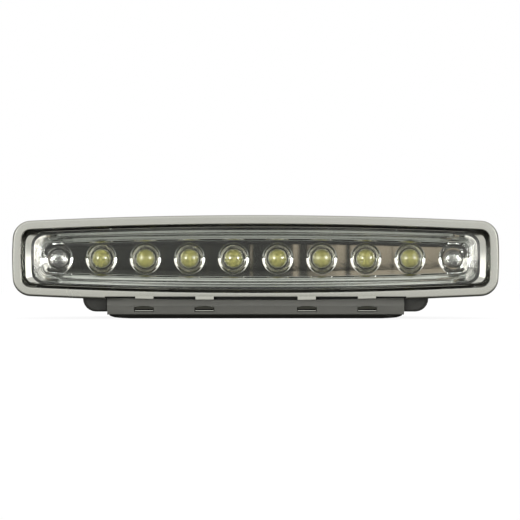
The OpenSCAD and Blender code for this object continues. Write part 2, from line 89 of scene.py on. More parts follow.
# %% [markdown]
# ## One outline for everything
# The bezel's edges, the funnel, the lens and the reflector all follow one kind
# of outline: a long top arc, a short corner arc and a shallow end arc. It could
# be drawn as a Bezier curve, but arcs that touch keep every ring at an even
# distance from the next. The corner arc touches both others, so its centre lies
# where two circles cross. Mirroring a quarter keeps all four sides alike.

# %% A quarter of the outline
def corner_centre(a, b, r):
    """The centre of a circle of radius r that touches the top arc and the end arc
    from inside. It is BULGE_R - r from the top arc's centre and BOW_R - r from
    the end arc's centre."""
    top, end = np.array([0.0, b - BULGE_R]), np.array([a - BOW_R, 0.0])
    far, near = BULGE_R - r, BOW_R - r
    span = np.linalg.norm(end - top)
    along = (far**2 - near**2 + span**2) / (2 * span)
    u = (end - top) / span
    side = np.array([-u[1], u[0]]) * (1 if u[0] > 0 else -1)
    return top + along * u + math.sqrt(far**2 - along**2) * side


def arc(centre, radius, first, last, steps):
    """Points on a circle by equal steps of angle, without the first of them."""
    t = np.linspace(first, last, steps + 1)[1:]
    return centre + radius * np.stack([np.cos(t), np.sin(t)], 1)


def quarter(a, b, r, steps=(26, 12, 10, 8)):
    """Points from the middle of the top to the middle of the end: equal steps in x
    up to the notch's edge, then equal steps of angle along what is left of the top
    arc, the corner arc and the end arc."""
    top, end = np.array([0.0, b - BULGE_R]), np.array([a - BOW_R, 0.0])
    corner = corner_centre(a, b, r)
    turn_top = math.atan2(*(corner - top)[::-1])
    turn_end = math.atan2(*(corner - end)[::-1])
    x = np.linspace(0, NOTCH_A, steps[0])
    above_notch = np.stack([x, b - BULGE_R + np.sqrt(BULGE_R**2 - x**2)], 1)
    return np.concatenate([
        above_notch,
        arc(top, BULGE_R, math.acos(NOTCH_A / BULGE_R), turn_top, steps[1]),
        arc(corner, r, turn_top, turn_end, steps[2]),
        arc(end, BOW_R, turn_end, 0, steps[3])])


print("points in a quarter:", len(quarter(*FACE)))

# %% The whole outline, in the plane and in space
def outline(a, b, r):
    """The whole outline as [x, z] rows, clockwise from the top's middle: a quarter
    and its three mirror images."""
    right_top = quarter(a, b, r)
    right_low = right_top[-2::-1] * [1, -1]
    left_low = right_top[1:] * [-1, -1]
    left_top = right_top[-2:0:-1] * [-1, 1]
    return np.concatenate([right_top, right_low, left_low, left_top])


def at_depth(points, d, bend=1.0):
    """[x, z] rows put in space at depth d, with the share bend of the face's convex
    plan: the depth grows with x squared over twice the plan radius."""
    x, z = points[:, 0], points[:, 1]
    y = FRONT_Y + d + bend * x**2 / (2 * PLAN_R)
    return np.stack([x, y, z + AXIS_Z], 1) * MM


def grown(base, by):
    """An outline's sizes moved outwards by that many millimetres."""
    return (base[0] + by, base[1] + by, base[2] + by)


def between(first, last, s):
    """The ring that lies the share s of the way from first to last."""
    return tuple(u + (v - u) * s for u, v in zip(first, last))


print("points in the outline:", len(outline(*FACE)))

# %% [markdown]
# ## From rings to a mesh
# A swept piece is a grid: one row of points for each ring. The faces join
# neighbouring rings. Points that coincide are merged, which closes seams and the
# ends of a cap, and then the normals are worked out again so that they look
# outwards. Last, broad angles are shaded smooth and real edges stay sharp.

# %% Grids into meshes
def grid_faces(rows, cols, wrap_rows=False):
    """Four corners for each cell of a grid of rows by cols points, as an index
    array. Every row is closed, and with wrap_rows the last row meets the first."""
    i = np.arange(rows if wrap_rows else rows - 1)[:, None]
    j = np.arange(cols)[None, :]
    i2, j2 = (i + 1) % rows, (j + 1) % cols
    cell = [i * cols + j, i * cols + j2, i2 * cols + j2, i2 * cols + j]
    return np.stack([c.reshape(-1) for c in np.broadcast_arrays(*cell)], 1)


def placed(bm, mesh, smooth_below=40.0):
    """Writes the bmesh into the mesh and puts that into the scene as an object,
    shaded smooth where edges turn by less than smooth_below degrees."""
    bm.to_mesh(mesh)
    bm.free()
    mesh.shade_smooth()
    mesh.set_sharp_from_angle(angle=math.radians(smooth_below))
    piece = bpy.data.objects.new(mesh.name, mesh)
    bpy.context.scene.collection.objects.link(piece)
    print(mesh.name, len(mesh.polygons), "faces")
    return piece


def new_piece(name, shells, smooth_below=40.0):
    """One object from (points, faces) shells, with doubles merged and normals made
    to look outwards."""
    points, faces, start = [], [], 0
    for shell_points, shell_faces in shells:
        points.append(shell_points)
        if isinstance(shell_faces, np.ndarray):
            faces += (shell_faces + start).tolist()
        else:
            faces += [[v + start for v in face] for face in shell_faces]
        start += len(shell_points)
    mesh = bpy.data.meshes.new(name)
    mesh.from_pydata(np.concatenate(points).tolist(), [], faces)
    bm = bmesh.new()
    bm.from_mesh(mesh)
    bmesh.ops.remove_doubles(bm, verts=bm.verts, dist=1e-7)
    bmesh.ops.dissolve_degenerate(bm, edges=bm.edges, dist=1e-8)
    bmesh.ops.recalc_face_normals(bm, faces=bm.faces)
    return placed(bm, mesh, smooth_below)


def finish_piece(piece, material, slot, *nodes):
    """Gives a piece its material, hides the nodes that it stands for and lets it ride
    on the one body. The slot is not used."""
    piece.data.materials.append(material)
    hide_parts(*nodes)
    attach(piece, "root")


print("faces in a grid of 3 by 4 points:", len(grid_faces(3, 4)))

# %% [markdown]
# ## Shader sums as Python
# A material could be built by hand in the shader editor. Here it is written as an
# expression, which is easier to read and to change. `Signal` wraps an output
# socket, and adding or multiplying signals adds Math nodes, also with the number
# first. `Finish.node` makes any other node.

# %% Signals
class Signal:
    """One output socket of a node tree."""

    def __init__(self, tree, socket):
        self.tree, self.socket = tree, socket

    def _math(self, operation, first, second=None):
        node = self.tree.nodes.new("ShaderNodeMath")
        node.operation = operation
        for slot, value in zip(node.inputs, (first, second)):
            if isinstance(value, Signal):
                self.tree.links.new(value.socket, slot)
            elif value is not None:
                slot.default_value = value
        return Signal(self.tree, node.outputs[0])

    def __add__(self, other):
        return self._math("ADD", self, other)

    def __sub__(self, other):
        return self._math("SUBTRACT", self, other)

    def __rsub__(self, other):
        return self._math("SUBTRACT", other, self)

    def __mul__(self, other):
        return self._math("MULTIPLY", self, other)

    def __truediv__(self, other):
        return self._math("DIVIDE", self, other)

    __radd__, __rmul__ = __add__, __mul__

    def over(self, level):
        """1 where the signal is greater than level, 0 elsewhere."""
        return self._math("GREATER_THAN", self, level)

    def absolute(self):
        return self._math("ABSOLUTE", self)

    def power(self, exponent):
        return self._math("POWER", self, exponent)

    def limited(self):
        """The signal held between 0 and 1."""
        held = self._math("ADD", self, 0.0)
        held.socket.node.use_clamp = True
        return held

    def rises(self, start, width):
        """0 up to start, then a straight ramp of that width up to 1."""
        return ((self - start) / width).limited()

    def falls(self, end, width):
        """1 at first, then a straight ramp of that width down to 0 at end."""
        return ((end - self) / width).limited()


print("signal sums:", [name for name in vars(Signal) if not name.startswith("_")])

# %% Finishes
class Finish:
    """A node tree under work: a material, or the world."""

    def __init__(self, owner):
        owner.use_nodes = True
        self.owner, self.tree = owner, owner.node_tree
        self.tree.nodes.clear()

    def node(self, kind, settings=None, out=0, **sockets):
        """Adds a node of that kind. Settings come first, stops are a ramp's, and each
        socket takes a number, a colour or a Signal. A socket is named, or s and its
        number where names repeat."""
        n = self.tree.nodes.new(kind)
        for key, value in (settings or {}).items():
            if key == "stops":
                ramp = n.color_ramp
                while len(ramp.elements) < len(value):
                    ramp.elements.new(0.5)
                for element, (place, colour) in zip(ramp.elements, value):
                    element.position, element.color = place, colour
            else:
                setattr(n, key, value)
        for key, value in sockets.items():
            name = key.replace("_", " ")
            slot = n.inputs[int(key[1:])] if key[1:].isdigit() else n.inputs[name]
            if isinstance(value, Signal):
                self.tree.links.new(value.socket, slot)
            else:
                slot.default_value = value
        return Signal(self.tree, n.outputs[out])

    def mix(self, factor, first, second):
        """A colour between first and second."""
        return self.node("ShaderNodeMix", {"data_type": "RGBA"}, out=2, s0=factor, s6=first, s7=second)

    def ramp(self, at, stops):
        """The colour at that place of a ramp of (place, colour) stops."""
        return self.node("ShaderNodeValToRGB", {"stops": stops}, Fac=at)

    def axes(self, coordinates="Object"):
        """x, y and z as three signals."""
        spot = self.node("ShaderNodeTexCoord", out=coordinates)
        return [self.node("ShaderNodeSeparateXYZ", Vector=spot, out=axis) for axis in range(3)]

    def ray(self, kind):
        """1 for rays of that kind, as the Light Path node tells them, 0 for others."""
        return self.node("ShaderNodeLightPath", out=f"Is {kind} Ray")

    def grain(self, scale, detail):
        """Noise in object space, with a scale per metre and a number of finer layers."""
        spot = self.node("ShaderNodeTexCoord", out="Object")
        return self.node("ShaderNodeTexNoise", Vector=spot, Scale=scale, Detail=detail)

    def close(self, surface, kind="ShaderNodeOutputMaterial"):
        """Links the last shader to the output and gives the material back."""
        end = self.tree.nodes.new(kind)
        self.tree.links.new(surface.socket, end.inputs["Surface"])
        return self.owner


def new_finish(name):
    return Finish(bpy.data.materials.new(name))


print("finish nodes:", [name for name in vars(Finish) if not name.startswith("_")])

# %% [markdown]
# ## Chrome
# The real bezel is plastic with a thin chrome skin: satin on the ring's front and
# bright round its nose and skirt. The funnel's wall gets a painted dark reflection,
# so that the lens looks set in black, and the tabs' hooks get painted shade. One
# material on one mesh is enough for that, because the finish follows the depth
# behind the curved front, which Object coordinates give. Two materials would need
# an edge in the mesh at each border.

# %% The chrome's finish
# Painted dark tone: a painted dark reflection on the funnel's wall and painted shade on the tabs' hooks.
PAINTED_DARK = (0.07, 0.07, 0.06, 1)
MOUTH_EDGE = 0.7            # the painted dark wall starts this far outside the mouth
LEDGE_END = 82.0            # the ledge fades before this half width
HOOK_BAND = (17.0, 19.75)   # heights below the axis at which a tab's hook gets painted shade


def funnel_wall(x, behind, bent, high):
    """1 on the wall of the funnel, where a dark reflection is painted: inside the mouth's
    outline, behind the front and in front of the funnel's floor. The ledge in it is
    only half painted dark. The outline's top falls with x squared over twice the radius of its bulge."""
    risen = high + x * x / (2 * BULGE_R * MM)
    inside = (risen.falls((MOUTH[1] + MOUTH_EDGE) * MM, 0.3 * MM)
              * x.absolute().falls((MOUTH[0] + MOUTH_EDGE) * MM, 0.3 * MM))
    wall = bent.rises(0.4 * MM, 0.15 * MM) * inside * behind.falls(WALL_D * MM, 0.1 * MM)
    from_ledge = (behind - x * x * (LEDGE_BEND / (2 * PLAN_R * MM)) - LEDGE_D * MM).absolute()
    ledge = from_ledge.falls(0.16 * MM, 0.05 * MM) * x.absolute().falls(LEDGE_END * MM, 3 * MM)
    return wall * (1.0 - ledge * 0.45)


def chrome_finish():
    """Roughness is 0.24 on the front and 0.05 from 1.2 mm behind it, plus a little
    haze, as handling leaves it."""
    f = new_finish("bezel_chrome")
    haze = f.grain(60.0, 4.0)
    x, y, z = f.axes()
    behind = y - FRONT_Y * MM
    bent = behind - x * x / (2 * PLAN_R * MM)
    high = (z - AXIS_Z * MM).absolute()
    deep = bent.rises(0.6 * MM, 0.6 * MM)
    hook_shade_mask = high.falls(HOOK_BAND[1] * MM, 0.1 * MM) * high.rises(HOOK_BAND[0] * MM, 0.3 * MM)
    # Painted dark reflection on the funnel's wall, and painted shade on the hooks.
    painted_dark = (funnel_wall(x, behind, bent, high) + hook_shade_mask).limited()
    colour = f.mix(haze, (0.77, 0.77, 0.71, 1), (0.81, 0.81, 0.75, 1))
    shader = f.node("ShaderNodeBsdfPrincipled", Base_Color=f.mix(painted_dark, colour, PAINTED_DARK), Metallic=1.0,
                    Roughness=0.24 - deep * 0.19 + haze * 0.05)
    return f.close(shader)


chrome = chrome_finish()
print("chrome nodes:", len(chrome.node_tree.nodes))

# %% [markdown]
# ## Mirror and steel
# The reflector is plastic with a coat of aluminium, laid on as vapour. It mirrors
# nearly as well as glass, but the plastic below is never quite flat, so a faint
# bump bends the reflections. A plain mirror would be quicker and would look like
# a drawing. The screws are plated steel: brighter, and a little more matt.

# %% The mirror's and the steel's finish
def mirror_finish():
    f = new_finish("reflector_coating")
    ripple = f.grain(420.0, 2.0)
    colour = f.mix(ripple, (0.80, 0.79, 0.77, 1), (0.88, 0.87, 0.85, 1))
    bump = f.node("ShaderNodeBump", Strength=0.02, Distance=0.0002, Height=ripple)
    shader = f.node("ShaderNodeBsdfPrincipled", Base_Color=colour, Metallic=1.0,
                    Roughness=0.03 + ripple * 0.04, Normal=bump)
    return f.close(shader)


def steel_finish():
    f = new_finish("screw_steel")
    haze = f.grain(700.0, 3.0)
    colour = f.mix(haze, (0.86, 0.86, 0.85, 1), (0.95, 0.95, 0.94, 1))
    shader = f.node("ShaderNodeBsdfPrincipled", Base_Color=colour, Metallic=1.0,
                    Roughness=0.14 + haze * 0.1)
    return f.close(shader)


mirror, steel = mirror_finish(), steel_finish()
print("metal finishes:", [m.name for m in (chrome, mirror, steel)])

# %% [markdown]
# ## Clear lens
# The lens is a moulding of clear plastic. It is glass to the camera, with both of
# its walls modelled, so its sloped rim bends what lies behind it. One thin sheet
# with a transparent shader would be quicker, but its rim would look flat. Lamps
# can't shine through refracting glass cheaply, so shadow rays pass it unbent.

# %% The lens's finish
def lens_finish():
    f = new_finish("clear_polycarbonate")
    haze = f.grain(130.0, 3.0)
    glass = f.node("ShaderNodeBsdfPrincipled", Base_Color=(0.97, 0.985, 0.98, 1),
                   Transmission_Weight=1.0, IOR=1.5, Roughness=0.004 + haze * 0.01)
    open_way = f.node("ShaderNodeBsdfTransparent", Color=(0.95, 0.96, 0.96, 1))
    return f.close(f.node("ShaderNodeMixShader", s0=f.ray("Shadow"), s1=glass, s2=open_way))


clear = lens_finish()
print("lens finish:", clear.name)

# %% [markdown]
# ## Plastics, rubber and the board
# The housing and the bracket are moulded in dark grey plastic with a fine
# texture from the mould: a bump of small scale and a roughness that varies. The
# bracket's foot carries painted shade: it is painted much darker than its front.
# Gasket, board, resistors and diode are dull in the same way, so one function
# with other colours serves them all.

# %% Moulded plastics
# Painted shade on the bracket's foot: below FOOT_H its colour turns nearly black.
FOOT_H = 1.5
PAINTED_FOOT_SHADE = (0.012, 0.012, 0.010, 1)


def moulded_finish(name, dark, light, rough, texture=2600.0, foot=0.0):
    """Colour from dark to light by broad noise, and a bump by fine noise. A foot of
    that height gets painted shade: fully dark up to its top, and fading over a fifth more."""
    f = new_finish(name)
    broad = f.grain(45.0, 3.0)
    fine = f.grain(texture, 2.0)
    colour = f.mix(broad, (*dark, 1), (*light, 1))
    if foot:
        # Painted shade: the foot's colour fades to the dark tone.
        height_over_shaded_foot = f.axes()[2] / (foot * MM)
        colour = f.mix(height_over_shaded_foot.falls(1.2, 0.2), colour, PAINTED_FOOT_SHADE)
    bump = f.node("ShaderNodeBump", Strength=0.35, Distance=0.00003, Height=fine)
    shader = f.node("ShaderNodeBsdfPrincipled", Base_Color=colour,
                    Roughness=rough + broad * 0.1 + fine * 0.06, Normal=bump)
    return f.close(shader)


housing_plastic = moulded_finish("housing_plastic", (0.042, 0.042, 0.038), (0.050, 0.050, 0.045), 0.36)
bracket_plastic = moulded_finish("bracket_plastic", (0.128, 0.128, 0.115), (0.145, 0.145, 0.130), 0.36,
                                 foot=FOOT_H)
rubber = moulded_finish("black_rubber", (0.018, 0.018, 0.018), (0.03, 0.03, 0.03), 0.6)
laminate = moulded_finish("board_laminate", (0.03, 0.12, 0.05), (0.05, 0.17, 0.08), 0.35, 900.0)
resistor_coat = moulded_finish("resistor_coat", (0.50, 0.40, 0.24), (0.60, 0.50, 0.32), 0.35)
diode_case = moulded_finish("diode_case", (0.012, 0.012, 0.012), (0.02, 0.02, 0.02), 0.3)
print("dull finishes:", [m.name for m in (housing_plastic, bracket_plastic, rubber, laminate)])

# %% [markdown]
# ## The LEDs' resin
# Each LED is a dome of clear resin over a yellow phosphor. A dome of glass over a
# yellow disc would need many light bounces and would look much the same. Here
# the dome carries the phosphor's colours as rings round its own axis, with painted
# shade in a darker ring near the rim and a painted reflection in a pale ring at the
# rim, under a clear coat that gives it its sharp highlights. One material serves
# all eight, because the distance from the nearest axis repeats with the pitch.

# %% The resin's finish
def led_finish():
    """Tone by the distance from the LED's axis over its radius: yellow in the
    middle, darker near the rim as painted shade, and pale at the rim as a painted
    reflection. The fraction of x over the pitch is a half on each axis, so a half is taken off it."""
    f = new_finish("led_resin")
    x, _, z = f.axes()
    cell = f.node("ShaderNodeMath", {"operation": "FRACT"}, s0=x / (PITCH * MM))
    dx = (cell - 0.5) * (PITCH * MM)
    dz = z - AXIS_Z * MM
    far = (dx * dx + dz * dz).power(0.5) / (LED_R * MM)
    mottle = f.grain(1500.0, 3.0)
    # The ramp's darker ring near the rim is painted shade, and its pale rim is a painted reflection.
    phosphor_with_painted_rim = f.ramp(far + (mottle - 0.5) * 0.12, [
        (0.0, (0.275, 0.256, 0.070, 1)), (0.6, (0.250, 0.233, 0.063, 1)),
        (0.88, (0.18, 0.175, 0.050, 1)), (0.95, (0.25, 0.245, 0.165, 1)),
        (1.0, (0.28, 0.27, 0.22, 1))])
    shader = f.node("ShaderNodeBsdfPrincipled", Base_Color=phosphor_with_painted_rim, Roughness=0.28 + mottle * 0.1,
                    Coat_Weight=1.0, Coat_Roughness=0.05, Coat_IOR=1.9)
    return f.close(shader)


led_resin = led_finish()
print("resin finish:", led_resin.name)

# %% [markdown]
# ## Housing and bracket
# Both are mouldings with flat walls, and their solids have every form already.
# What the solids lack is the small round on each edge, which catches the light on
# a moulding. It could come from a Bevel modifier, but a solid's mesh is loose
# triangles. So a copy is merged, its flat triangles are joined into whole
# facets, and only then are the edges bevelled.

# %% The housing and the bracket
def eased(node, name, width):
    """A copy of a solid with every edge sharper than 32 degrees rounded over by
    width millimetres."""
    bm = bmesh.new()
    bm.from_mesh(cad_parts[node].data)
    bmesh.ops.remove_doubles(bm, verts=bm.verts, dist=2e-6)
    bmesh.ops.dissolve_limit(bm, angle_limit=math.radians(1.0), verts=bm.verts, edges=bm.edges)
    sharp = [e for e in bm.edges if e.is_manifold and e.calc_face_angle(0) > math.radians(32)]
    bmesh.ops.bevel(bm, geom=sharp, offset=width * MM, segments=3, profile=0.5, affect="EDGES",
                    clamp_overlap=True)
    return placed(bm, bpy.data.meshes.new(name))


finish_piece(eased("housing", "housing_moulding", 0.25), housing_plastic, "housing_plastic", "housing")
finish_piece(eased("mounting_bracket", "bracket_moulding", 0.3), bracket_plastic, "bracket_plastic",
             "mounting_bracket")

# %% [markdown]
# ## Nodes that keep their own mesh
# The board, the resistors and the diode are hidden inside, and the grommet is a
# plain turned ring at the back. They keep the frame's mesh, because nothing finer
# would show, and only get a finish.

# %% Finishes for these nodes
kept = {
    "cable_grommet": rubber, "circuit_board": laminate, "polarity_diode": diode_case,
    **{f"resistor_{i}": resistor_coat for i in range(1, 5)}}
for name, material in kept.items():
    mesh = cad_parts[name].data
    mesh.materials.clear()
    mesh.materials.append(material)
print("finishes on", len(kept), "nodes")

# %% [markdown]
# ## The bezel
# The bezel is one moulding: a flat ring with a rounded nose, a skirt to the
# rear, and a funnel that narrows to the lens. It could be cut from a block, but
# sweeping its section round the outline keeps every edge exact. Each row below
# is a ring: half width, half height, corner radius, depth and share of plan
# bend. The funnel's rear has no bend, because the lens's flange is flat.

# %% The bezel's rings
NOSE_R = 0.9                # round at the ring's outside
LIP_R = 0.5                 # round at the mouth
FALL = 0.10                 # the ring's front falls by this much to the outside
REAR_EASE = 0.15            # bevel at the skirt's rear


def nose_rings():
    """From the ring's front round to its side: insets and depths along a quarter
    circle. The fall of the front is worked off along it."""
    rings = [(*grown(FACE, -NOSE_R - 0.06), FALL * 0.97, 1.0)]
    for turn in np.radians(np.linspace(0, 90, 7)):
        depth = NOSE_R * (1 - math.cos(turn))
        rings.append((*grown(FACE, -NOSE_R * (1 - math.sin(turn))), depth + FALL * (1 - depth / NOSE_R), 1.0))
    return rings


def lip_rings():
    """From the mouth's wall round to the ring's front, along a quarter circle."""
    rings = [(*grown(MOUTH, LIP_R * (1 - math.sin(turn))), LIP_R * (1 - math.cos(turn)), 1.0)
             for turn in np.radians(np.linspace(90, 0, 6))]
    return rings + [(*grown(MOUTH, LIP_R + 0.06), 0.0, 1.0)]


def bezel_rings():
    """All rings in a loop: nose, skirt, inside of the skirt, back of the ring and of
    the funnel, the funnel's floor, its wall with the ledge, and the lip."""
    floor = (LIGHT[0] + 2.2, LIGHT[1] + 0.15, MOUTH[2])
    skirt = [(*FACE, SKIRT_D - REAR_EASE, 0.0), (*grown(FACE, -REAR_EASE), SKIRT_D, 0.0),
             (*grown(FACE, -WALL), SKIRT_D, 0.0), (*grown(FACE, -WALL), RING_BACK_D, 1.0)]
    funnel = [(*grown(MOUTH, LIP_R), RING_BACK_D, 1.0), (*FLANGE, FUNNEL_D, 0.0),
              (*LIGHT, FUNNEL_D, 0.0), (*floor, WALL_D, 0.0)]
    ledge = [(*between(floor, MOUTH, s), LEDGE_D, LEDGE_BEND) for s in (0.22, 0.32)]
    return nose_rings() + skirt + funnel + ledge + lip_rings()


print("rings in the bezel:", len(bezel_rings()))

# %% [markdown]
# ## The notch
# Below, over about three fifths of its width, the real bezel is cut away up to a
# narrow strip, which leaves room for the bracket. A boolean cut would leave a
# ragged seam in the chrome. Instead the rings themselves are drawn in to the strip
# there, and the two points of each ring at the notch's edges are doubled, which
# makes a square step.

# %% The bezel's shell
def in_notch(points):
    return (np.abs(points[:, 0]) <= NOTCH_A + 1e-6) & (points[:, 1] < 0)


def notched(points, depth):
    """Draws the part of a ring that lies in the notch in to the strip's lower edge,
    and no deeper than the ring's back."""
    x, z = points[:, 0], points[:, 1]
    inside = in_notch(points)
    held = np.where(inside, np.maximum(z, -NOTCH_H), z)
    in_strip = inside & (z < 0.9 - MOUTH[1])
    return np.stack([x, held], 1), np.where(in_strip, np.minimum(depth, RING_BACK_D), depth)


def bezel_shell():
    """Every ring in space. The strip between the doubled points is drawn in, the
    rest isn't."""
    probe = outline(*FACE)
    first, last = np.flatnonzero((np.abs(np.abs(probe[:, 0]) - NOTCH_A) < 1e-6) & (probe[:, 1] < 0))
    rows = []
    for a, b, r, d, bend in bezel_rings():
        p = outline(a, b, r)
        depth = np.full(len(p), d)
        plain = at_depth(p, depth, bend)
        cut = np.where(in_notch(p)[:, None], at_depth(*notched(p, depth), bend), plain)
        rows.append(np.concatenate([plain[:first + 1], cut[first:last + 1], plain[last:]]))
    grid = np.stack(rows)
    return grid.reshape(-1, 3), grid_faces(len(grid), grid.shape[1], wrap_rows=True)


print("points in the bezel's shell:", len(bezel_shell()[0]))

# %% [markdown]
# ## The snap tabs
# Four tabs reach down from the strip behind the bracket's front, and a hook on
# each snaps into a window. They belong to the same moulding, so they are shells
# of the same object. A tab is a section in the plane of depth and height, carried
# along x.

# %% The tabs and the finished bezel
TAB_ROOT_D = 1.7            # front of a tab's root
TAB_D = 10.1                # front of its upright part
TAB_LOW = -20.1             # its lower end
TAB_W = 7.0
HOOK = 1.5                  # how far a hook stands out
tab_places = (-42.7, -19.6, 19.6, 42.7)


def bar_shell(section, x, width, edge=0.12):
    """A section [depth, height] carried along x: two end rings, each drawn in by
    edge to bevel it, and flat ends."""
    s = np.array(section, float)
    inwards = s.mean(0) - s
    drawn_in = s + inwards / np.linalg.norm(inwards, axis=1)[:, None] * edge
    rows = [(drawn_in, x - width / 2), (s, x - width / 2 + edge),
            (s, x + width / 2 - edge), (drawn_in, x + width / 2)]
    grid = np.stack([np.stack([np.full(len(s), at), FRONT_Y + p[:, 0], AXIS_Z + p[:, 1]], 1)
                     for p, at in rows]) * MM
    n = len(s)
    faces = grid_faces(4, n).tolist() + [list(range(n))[::-1], list(range(3 * n, 4 * n))]
    return grid.reshape(-1, 3), faces


tab_section = [
    (TAB_ROOT_D, WALL - NOTCH_H), (TAB_D + WALL, WALL - NOTCH_H), (TAB_D + WALL, TAB_LOW),
    (TAB_D - HOOK, TAB_LOW), (TAB_D - HOOK, TAB_LOW + 0.25), (TAB_D, TAB_LOW + 0.7),
    (TAB_D, -NOTCH_H), (TAB_ROOT_D, -NOTCH_H)]
tabs = [bar_shell(tab_section, x, TAB_W) for x in tab_places]
finish_piece(new_piece("bezel_moulding", [bezel_shell()] + tabs, 32.0), chrome, "chrome_trim", "bezel")

# %% [markdown]
# ## The lens
# The lens is a shallow tray of even wall: a flange, a sloped rim and a raised
# window. It could be a plane with thickness from Solidify, but its inside isn't
# parallel to its outside: the slope carries flat facets there, which bend the
# light into streaks. So rings run from the middle of the front, over the rim to
# the flange, and back along the inside. Shrinking a ring's height to nothing
# closes each side along a line, with no fan of long triangles.

# %% The lens's rings
WINDOW_D = 2.4              # front of the window
WINDOW_BACK_D = 4.4         # its inside
FLANGE_D = 6.2              # front of the flange
GASKET_D = 7.8              # where the flange lies on the gasket
SOFT = 0.3                  # round at the window's edge
# Facets of the inner slope: share of the way from the outside to the window, depth.
FACETS = ((0.0, 0.0), (0.05, 0.0), (0.40, 0.125), (0.43, 0.0), (0.56, 0.0), (0.68, 0.05), (0.71, 0.0),
          (0.86, 0.0), (1.0, 0.085))


def lens_front():
    """Rings of the outside. After the five numbers of a ring come the share of its
    height that is kept, the facet's depth and the ripple's depth."""
    edge = [(*grown(WINDOW, SOFT * math.sin(turn) - SOFT / 2),
             WINDOW_D + SOFT * 1.2 * (1 - math.cos(turn)), 1.0, 1.0, 0.0, 0.0)
            for turn in np.radians(np.linspace(0, 60, 7))]
    middle = [(*edge[0][:5], height, 0.0, 0.0) for height in (0.0, 0.35, 0.7)]
    rim = [(*grown(LIGHT, -0.4), FLANGE_D, 0.0, 1.0, 0.0, 0.0), (*FLANGE, FLANGE_D, 0.0, 1.0, 0.0, 0.0),
           (*FLANGE, GASKET_D, 0.0, 1.0, 0.0, 0.0)]
    return middle + edge + rim


def lens_inside(steps=64):
    """Rings of the inside, from the flange to the middle. Along the slope a sine of
    eight waves softens the facets, and one of six waves is the ripple."""
    outer = (LIGHT[0] - 0.6, LIGHT[1] - 0.7, LIGHT[2] - 0.4, GASKET_D, 0.0, 1.0)
    inner = (*grown(WINDOW, 0.7), 5.0, 1.0, 1.0)
    slope = [(*outer, 0.0, 0.0)]
    for s in np.linspace(0, 1, steps + 1)[1:]:
        facet = np.interp(s, *zip(*FACETS)) + 0.0012 * math.sin(16 * math.pi * s)
        slope.append((*between(outer, inner, s), facet, 0.012 * math.sin(12 * math.pi * s)))
    window = [(*grown(WINDOW, 0.35), WINDOW_BACK_D + 0.18, 1.0, 1.0, 0.05, 0.0)]
    window += [(*WINDOW, WINDOW_BACK_D, 1.0, height, 0.0, 0.0) for height in (1.0, 0.98, 0.7, 0.35, 0.0)]
    return slope + window


print("rings in the lens:", len(lens_front()), "outside,", len(lens_inside()), "inside")

# %% The finished lens
END_A = 78.0                # half width at which the rim's ends begin


def lens_shell():
    """The rings in space. At the two ends the facets keep 0.15 of their depth and
    the ripple takes over, because the slope is longer and gentler there."""
    rows = []
    for a, b, r, d, bend, height, facet, ripple in lens_front() + lens_inside():
        p = outline(a, b, r) * [1, height]
        end = np.clip((np.abs(p[:, 0]) - END_A) / 4.0, 0, 1)
        rows.append(at_depth(p, d + facet * (1.0 - 0.85 * end) + ripple * end, bend))
    grid = np.stack(rows)
    return grid.reshape(-1, 3), grid_faces(len(grid), grid.shape[1])


finish_piece(new_piece("lens_moulding", [lens_shell()], 32.0), clear, "clear_lens", "lens")

# %% [markdown]
# ## The gasket
# A flat rubber gasket lies between the lens's flange and the housing's tray. It
# could be a copy of the solid, but the clear rim would show its black inner edge.
# So its small section is swept like the bezel's, with eased corners, and its
# opening is a little wider than the solid's.

# %% The finished gasket
GASKET_BACK_D = 8.8


def gasket_shell(lap=1.2, soft=0.15):
    """A rectangle from the flange's edge inwards by lap, with corners cut by soft,
    carried round the outline."""
    outside, inside = grown(FLANGE, -soft), grown(FLANGE, soft - lap)
    innermost = grown(FLANGE, -lap)
    rings = [(*innermost, GASKET_D + soft), (*inside, GASKET_D), (*outside, GASKET_D),
             (*FLANGE, GASKET_D + soft), (*FLANGE, GASKET_BACK_D - soft), (*outside, GASKET_BACK_D),
             (*inside, GASKET_BACK_D), (*innermost, GASKET_BACK_D - soft)]
    grid = np.stack([at_depth(outline(a, b, r), d, 0.0) for a, b, r, d in rings])
    return grid.reshape(-1, 3), grid_faces(len(grid), grid.shape[1], wrap_rows=True)


finish_piece(new_piece("lens_gasket", [gasket_shell()], 32.0), rubber, "gasket_rubber", "lens_seal")

# %% [markdown]
# ## The reflector
# The reflector is one bright plate with ten stepped dishes. Cutting holes in a
# plate would leave stray shading in the mirror, where every flaw shows. So each
# dish sits in its own cell of the plate, and a cell is one surface of two
# parameters: an angle, and a way outwards that starts at the hole, climbs the
# dish by three steps, crosses a small rolled rim and then spreads from the circle
# to the cell's straight edges. Neighbouring cells share their edge points.

# %% The dish
HALF_CELL = PITCH / 2
TREADS = 3
ROLL = 0.4                  # width of the rolled rim


def dish_profile(hole):
    """(radius, depth) from the hole's back edge over the floor, up the steps and
    over the rim. Each step is a sloped tread and a short, steep riser."""
    well = LED_R + 0.25
    tread = (CUP_R - well) / TREADS
    steps = []
    for i in range(TREADS):
        r, d = CUP_R - i * tread, REFLECTOR_D + i * (tread * 0.48 + 0.55)
        steps += [(r - 0.03, d), (r - tread + 0.1, d + tread * 0.44), (r - tread + 0.05, d + tread * 0.5)]
    floor = [(hole, CUP_FLOOR_D + 1.1), (hole, CUP_FLOOR_D), (well, CUP_FLOOR_D)]
    rim = [(CUP_R - 0.03, REFLECTOR_D + 0.12), (CUP_R + ROLL - 0.06, REFLECTOR_D),
           (CUP_R + ROLL, REFLECTOR_D)]
    return floor + steps[:0:-1] + rim


print("points in the dish's profile:", len(dish_profile(LED_R)))

# %% A cell of the plate
PLATE_H = 10.3              # half height of the plate
RISE_FROM = 77.4            # half width from which the plate's ends rise


